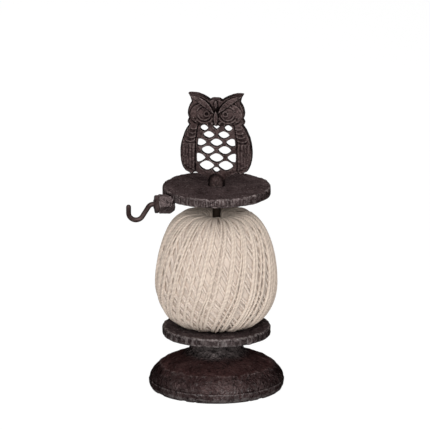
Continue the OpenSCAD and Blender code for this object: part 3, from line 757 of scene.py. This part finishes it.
def ram_in_sand(piece, voxel, rounds):
    """Remeshes a piece evenly and takes off its hard edges."""
    apply_modifier(piece, "REMESH", mode="VOXEL", voxel_size=voxel, use_smooth_shade=True)
    apply_modifier(piece, "SMOOTH", factor=0.5, iterations=rounds)


print("helpers ready")

# %% [markdown]
# ## The plate and its lug
# The plate is a disc like the tray, with a hexagonal lug cast on its rim for the hook. The remesh melts the lug into
# the rim with a small fillet, as the casting has.

# %% Plate casting
plate_casting = cast_copy("plate_casting", "top_plate")
ram_in_sand(plate_casting, voxel=0.5 * MM, rounds=3)
uneven(plate_casting, swell=1.2 * MM, ripple=0.9 * MM)
measure_relief(plate_casting, rounds=16)
plate_casting.data.materials.append(plate_iron)
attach(plate_casting, "plate")
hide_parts("top_plate")
print("plate casting:", triangles(plate_casting), "triangles")

# %% [markdown]
# ## The owl
# The owl is an openwork relief with a broad web of ribs for its breast. Its solid has the outline, the openings, the
# brows, the rings of the eyes, the beak and the feathers. The stem under the breast is smoothed more than the rest, so
# that it flows into the round of the socket.

# %% Owl casting
STEM_HALF, STEM_LOW, STEM_HIGH = 10 * MM, 2.5 * MM, 13 * MM
owl_casting = cast_copy("owl_casting", "owl_finial")
ram_in_sand(owl_casting, voxel=0.36 * MM, rounds=6)
owl_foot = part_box("owl_finial")[0].z
stem = [point.index for point in owl_casting.data.vertices
        if abs(point.co.x) < STEM_HALF and STEM_LOW < point.co.z - owl_foot < STEM_HIGH]
owl_casting.vertex_groups.new(name="stem").add(stem, 1, "REPLACE")
apply_modifier(owl_casting, "SMOOTH", factor=0.5, iterations=25, vertex_group="stem")
owl_casting.vertex_groups.clear()
uneven(owl_casting, swell=0.5 * MM, ripple=0.4 * MM)
measure_relief(owl_casting, rounds=30)
owl_casting.data.materials.append(owl_iron)
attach(owl_casting, "owl")
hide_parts("owl_finial")
print("owl casting:", triangles(owl_casting), "triangles")

# %% [markdown]
# ## Steel pieces
# The rod, the hook, the washer and the nuts are turned and drawn to size, so their solids already have the right faces.
# They stay as they are and get the dark steel.

# %% Steel on the solids
for name in ("foot_washer", "foot_nut", "hook_lock_nut", "string_hook", "spindle_rod"):
    piece = nodes[name]
    piece.data.materials.clear()
    piece.data.materials.append(rod_steel if name == "spindle_rod" else hook_steel)
print("steel set")

# %% [markdown]
# ## Jute twine
# Jute is pale and dull, with loose fibres, and each ply of the strand is painted a little lighter on its crest as a
# highlight and darker between the plies as shade. A strand has its own UV map, which runs along it and round it, so
# that the plies can wind along the strand.

# %% Material: twine
PLIES = 2
# Painted highlight and shade: lighter ply crests, darker lay between the plies.
PLY_HIGHLIGHT_AND_SHADE = 0.4


def jute(name, dark, light, twists):
    """Dull pale fibre. The plies wind round the strand: u runs along it and v round it."""
    material, tree, output = empty_material(name)
    place = add_node(tree, "ShaderNodeTexCoord")
    axes = add_node(tree, "ShaderNodeSeparateXYZ")
    along = add_node(tree, "ShaderNodeMath", {1: twists}, operation="MULTIPLY")
    wound = add_node(tree, "ShaderNodeMath", operation="ADD")
    angle = add_node(tree, "ShaderNodeMath", {1: 2 * PLIES * math.pi}, operation="MULTIPLY")
    wave = add_node(tree, "ShaderNodeMath", operation="SINE")
    plies = add_node(tree, "ShaderNodeMapRange", {"From Min": -1, "From Max": 1})
    fibres = add_node(tree, "ShaderNodeTexNoise", {"Scale": 1400, "Detail": 3, "Roughness": 0.7})
    patches = add_node(tree, "ShaderNodeTexNoise", {"Scale": 140, "Detail": 3, "Roughness": 0.6})
    both = add_node(tree, "ShaderNodeMath", operation="ADD")
    all_three = add_node(tree, "ShaderNodeMath", {1: PLY_HIGHLIGHT_AND_SHADE}, operation="MULTIPLY_ADD")
    spread = add_node(tree, "ShaderNodeMapRange", {"From Min": 0.8, "From Max": 1.55})
    tone = mix_colours(tree, dark, light)
    raised = add_node(tree, "ShaderNodeMath", operation="ADD")
    lift = add_node(tree, "ShaderNodeBump", {"Strength": 0.35, "Distance": 0.25 * MM})
    shader = add_node(tree, "ShaderNodeBsdfPrincipled", {"Roughness": 0.9, "Specular IOR Level": 0.1})
    link(tree, (place.outputs["UV"], axes.inputs[0]), (axes.outputs["X"], along.inputs[0]),
         (along.outputs[0], wound.inputs[0]), (axes.outputs["Y"], wound.inputs[1]), (wound.outputs[0], angle.inputs[0]),
         (angle.outputs[0], wave.inputs[0]), (wave.outputs[0], plies.inputs["Value"]),
         (place.outputs["Object"], fibres.inputs["Vector"]), (place.outputs["Object"], patches.inputs["Vector"]),
         (fibres.outputs[0], both.inputs[0]), (patches.outputs[0], both.inputs[1]),
         (plies.outputs[0], all_three.inputs[0]), (both.outputs[0], all_three.inputs[2]),
         (all_three.outputs[0], spread.inputs["Value"]), (spread.outputs[0], tone["factor"]),
         (tone["out"], shader.inputs["Base Color"]), (plies.outputs[0], raised.inputs[0]),
         (fibres.outputs[0], raised.inputs[1]), (raised.outputs[0], lift.inputs["Height"]),
         (lift.outputs[0], shader.inputs["Normal"]), (shader.outputs[0], output.inputs["Surface"]))
    return material


OUTER_LENGTH = 15.2
CROSS_LENGTH = 15.6
PLY_TWIST = 5.5 * MM
outer_jute = jute("outer_jute", (0.51, 0.42, 0.354), (0.675, 0.576, 0.49), twists=OUTER_LENGTH / PLY_TWIST)
inner_jute = jute("inner_jute", (0.52, 0.435, 0.375), (0.70, 0.60, 0.52), twists=CROSS_LENGTH / PLY_TWIST)
print("twine:", outer_jute.name, inner_jute.name)

# %% [markdown]
# ## The ball of twine
# The ball is wound in layers: each turn runs up the outside, over the crown, down through the hole and out again at
# the bottom, and lands a little further round. The outer layer leans one way and the layer under it leans the other
# way, which gives the diamonds between the strands. One function gives the path of a whole layer, point by point.

# %% Shape of the ball
wind_low, wind_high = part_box("twine_winding")
ball_r = 49 * MM
hole_r = 5.5 * MM
crown_r = 22 * MM
belly_z = wind_low.z + 35 * MM
top_z = wind_high.z
OUTER_SQUARENESS, INNER_SQUARENESS = 2, 7
WANDERS = ((1, 2.399, 0), (0.7, 5.13, 1))
SINK, SINK_RATE = 0.2 * MM, 3.7


def swollen(value, power):
    """A sine or cosine pushed out into a squarer round."""
    return math.copysign(abs(value) ** (2 / power), value)


def wrap(a, depth):
    """Where a turn lies at angle a of its way round, at a depth under the surface: (radius, height)."""
    c, s = math.cos(a), math.sin(a)
    outside = c > 0
    power = OUTER_SQUARENESS if outside else INNER_SQUARENESS
    reach = (ball_r - crown_r if outside else crown_r - hole_r) - depth
    rise = (top_z - belly_z if s > 0 else belly_z - wind_low.z) - depth
    return crown_r + reach * swollen(c, power), belly_z + rise * swollen(s, power)


def winding_path(turns, per_turn, lean, depth, stray):
    """Points of one unbroken winding that leans by an angle each way, with turns that stray a little."""
    points = []
    for k in range(turns * per_turn - per_turn // 4):
        a = math.pi + 2 * math.pi * k / per_turn
        turn = k / per_turn
        wander = stray * sum(share * math.sin(turn * rate + start) for share, rate, start in WANDERS)
        around = 2 * math.pi * turn / turns + lean * math.sin(a) + wander * 2 * math.pi / turns
        r, z = wrap(a, depth + SINK * math.sin(turn * SINK_RATE))
        points.append((r * math.cos(around), r * math.sin(around), z))
    return points


print("ball", round(2 * ball_r / MM, 1), "mm across")

# %% [markdown]
# ## The strand
# A strand is two plies twisted round each other. It is a curve with a two-lobed section that is tilted steadily along
# its path, which gives the twist, and the curve is then made a mesh. Its length is measured along the path.

# %% Twine from a path
PLY_PITCH = 9 * MM
PLY_BULGE = 0.2


def twine(name, points, radius, corners=8):
    """A twisted strand along points, as a mesh at the origin."""
    section = bpy.data.curves.new(name + "_section", "CURVE")
    section.dimensions = "2D"
    ring = section.splines.new("POLY")
    ring.points.add(corners - 1)
    for i, point in enumerate(ring.points):
        t = 2 * math.pi * i / corners
        r = radius * (1 - PLY_BULGE + PLY_BULGE * math.cos(PLIES * t))
        point.co = (r * math.cos(t), r * math.sin(t), 0, 1)
    ring.use_cyclic_u = True
    section_object = bpy.data.objects.new(name + "_section", section)
    bpy.context.scene.collection.objects.link(section_object)
    path = bpy.data.curves.new(name, "CURVE")
    path.dimensions = "3D"
    path.twist_mode = "MINIMUM"
    path.bevel_mode = "OBJECT"
    path.bevel_object = section_object
    path.use_fill_caps = True
    strand = path.splines.new("POLY")
    strand.points.add(len(points) - 1)
    run = 0.0
    for i, point in enumerate(strand.points):
        if i:
            run += (Vector(points[i]) - Vector(points[i - 1])).length
        point.co = (*points[i], 1)
        point.tilt = 2 * math.pi * run / PLY_PITCH
    piece = bpy.data.objects.new(name, path)
    bpy.context.scene.collection.objects.link(piece)
    bpy.ops.object.select_all(action="DESELECT")
    bpy.context.view_layer.objects.active = piece
    piece.select_set(True)
    bpy.ops.object.convert(target="MESH")
    bpy.ops.object.shade_smooth()
    bpy.data.objects.remove(section_object)
    print(name, round(run, 2), "m of strand,", triangles(piece), "triangles")
    return piece


outer_path = winding_path(turns=66, per_turn=170, lean=math.radians(15), depth=1.3 * MM, stray=0.42)
cross_path = winding_path(turns=66, per_turn=120, lean=math.radians(-38), depth=2.1 * MM, stray=0.35)
outer_turns = twine("outer_turns", outer_path, radius=1.45 * MM)
cross_turns = twine("cross_turns", cross_path, radius=1.25 * MM, corners=6)
for piece, material in ((outer_turns, outer_jute), (cross_turns, inner_jute)):
    piece.data.materials.clear()
    piece.data.materials.append(material)
    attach(piece, "ball")
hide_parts("twine_winding")

# %% [markdown]
# ## The heart of the ball
# Deeper layers show only as shade between the strands, so one closed turned form stands for them, a little smaller
# than the layers over it.

# %% Twine heart
HEART_POINTS, HEART_STEPS, HEART_DEPTH = 60, 120, 2.9 * MM
heart_section = [wrap(2 * math.pi * i / HEART_POINTS, HEART_DEPTH) for i in range(HEART_POINTS)]
twine_heart = spin_section(draw_section("twine_heart", heart_section), HEART_STEPS)
twine_heart.data.materials.append(inner_jute)
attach(twine_heart, "ball")
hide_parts("twine_core")
print("heart:", triangles(twine_heart), "triangles")
